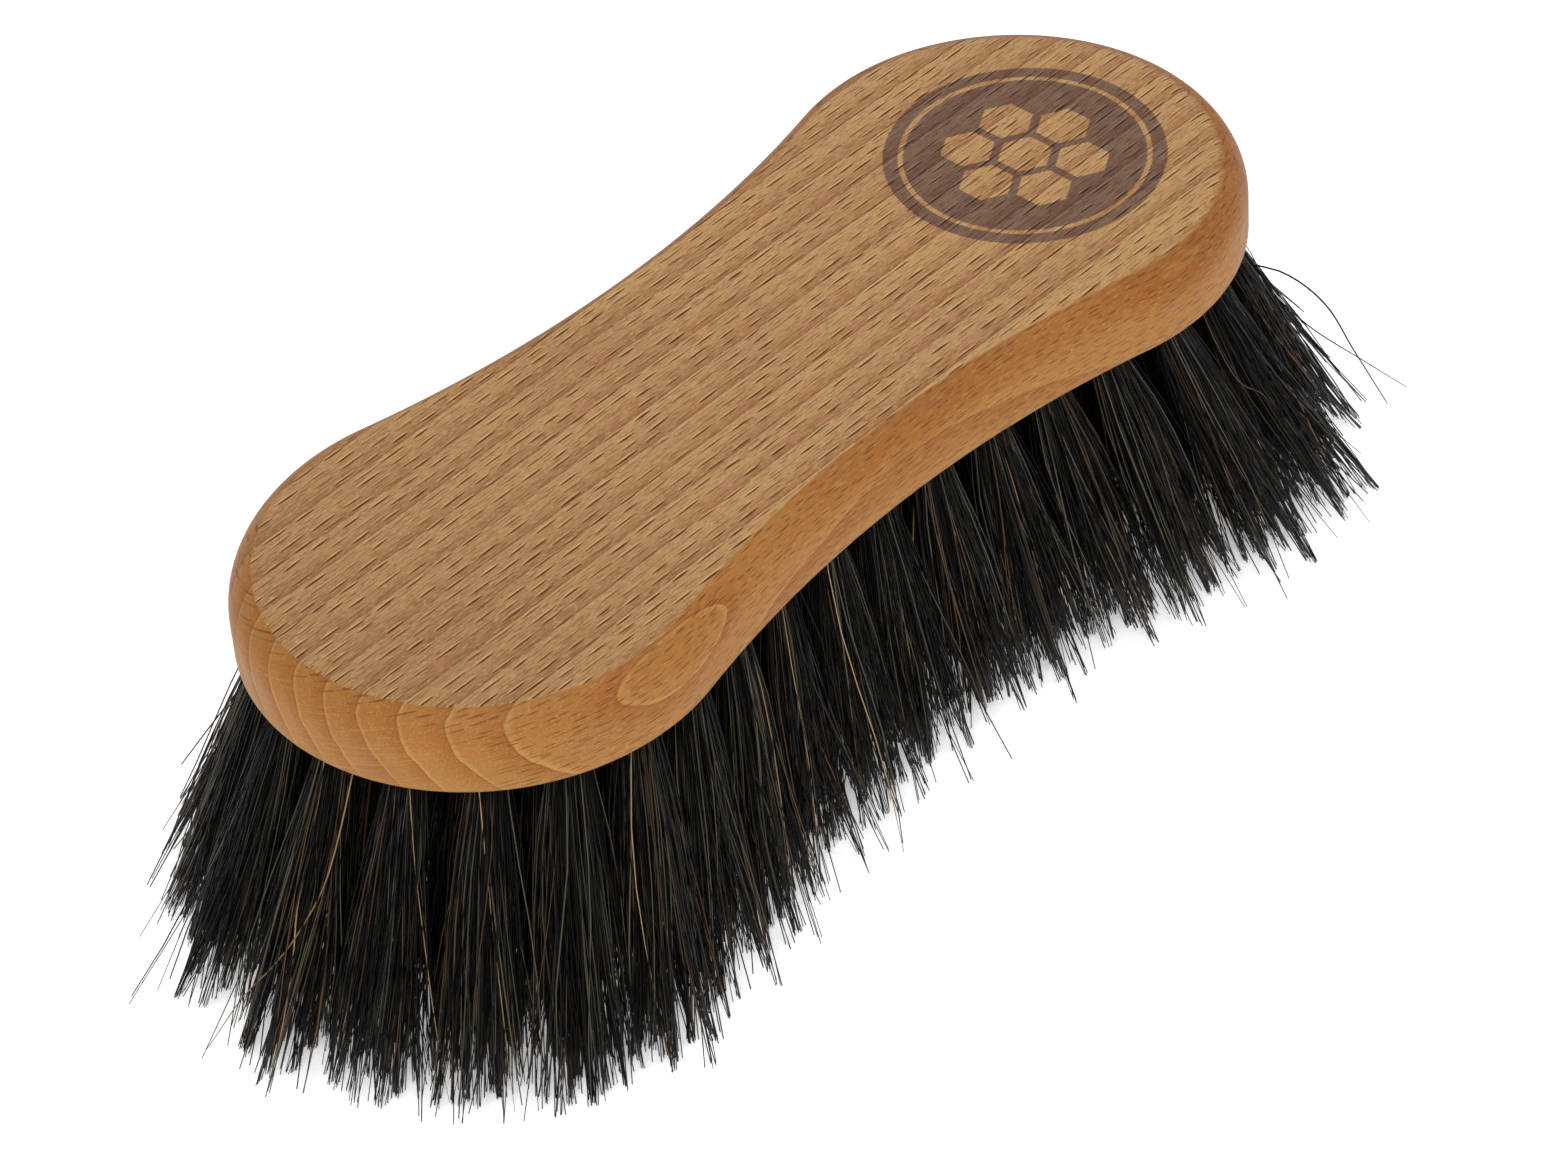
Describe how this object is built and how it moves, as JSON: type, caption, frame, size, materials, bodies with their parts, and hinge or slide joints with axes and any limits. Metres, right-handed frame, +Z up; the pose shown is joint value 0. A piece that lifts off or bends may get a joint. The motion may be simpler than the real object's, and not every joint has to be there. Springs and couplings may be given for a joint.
{
  "type": "waisted hand brush",
  "caption": "Hand brush with a waisted solid wood block, rounded over to a flat top, and fanned tufts of dark horsehair held in blind holes by flat wire anchors.",
  "frame": {"origin": "centre of the plane of the trimmed bristle tips, which the brush stands on", "axes": "+X along the block, +Y across it, +Z up, from the bristle tips to the flat top of the block"},
  "size_m": [0.2434, 0.1046, 0.0692],
  "materials": {
    "beech": "satin",
    "horsehair": "satin",
    "anchor_wire": "satin"
  },
  "bodies": {
    "root": {"anchors_centre": "anchor_wire", "anchors_lobes": "anchor_wire", "anchors_middle": "anchor_wire", "anchors_outer": "anchor_wire", "block": "beech", "tuft_outer_01": "horsehair", "tuft_outer_02": "horsehair", "tuft_outer_03": "horsehair", "tuft_outer_04": "horsehair", "tuft_outer_05": "horsehair", "tuft_outer_06": "horsehair", "tuft_outer_07": "horsehair", "tuft_outer_08": "horsehair", "tuft_outer_09": "horsehair", "tuft_outer_10": "horsehair", "tuft_outer_11": "horsehair", "tuft_outer_12": "horsehair", "tuft_outer_13": "horsehair", "tuft_outer_14": "horsehair", "tuft_outer_15": "horsehair", "tuft_outer_16": "horsehair", "tuft_outer_17": "horsehair", "tuft_outer_18": "horsehair", "tuft_outer_19": "horsehair", "tuft_outer_20": "horsehair", "tuft_outer_21": "horsehair", "tuft_outer_22": "horsehair", "tuft_outer_23": "horsehair", "tuft_outer_24": "horsehair", "tuft_outer_25": "horsehair", "tuft_outer_26": "horsehair", "tuft_outer_27": "horsehair", "tuft_outer_28": "horsehair", "tuft_outer_29": "horsehair", "tuft_outer_30": "horsehair", "tuft_outer_31": "horsehair", "tuft_outer_32": "horsehair", "tuft_outer_33": "horsehair", "tuft_outer_34": "horsehair", "tuft_outer_35": "horsehair", "tuft_outer_36": "horsehair", "tufts_centre": "horsehair", "tufts_lobe_left": "horsehair", "tufts_lobe_right": "horsehair", "tufts_middle_01": "horsehair", "tufts_middle_02": "horsehair", "tufts_middle_03": "horsehair", "tufts_middle_04": "horsehair", "tufts_middle_05": "horsehair", "tufts_middle_06": "horsehair", "tufts_middle_07": "horsehair", "tufts_middle_08": "horsehair", "tufts_middle_09": "horsehair", "tufts_middle_10": "horsehair", "tufts_middle_11": "horsehair", "tufts_middle_12": "horsehair", "tufts_middle_13": "horsehair", "tufts_middle_14": "horsehair", "tufts_middle_15": "horsehair"}
  },
  "joints": []
}
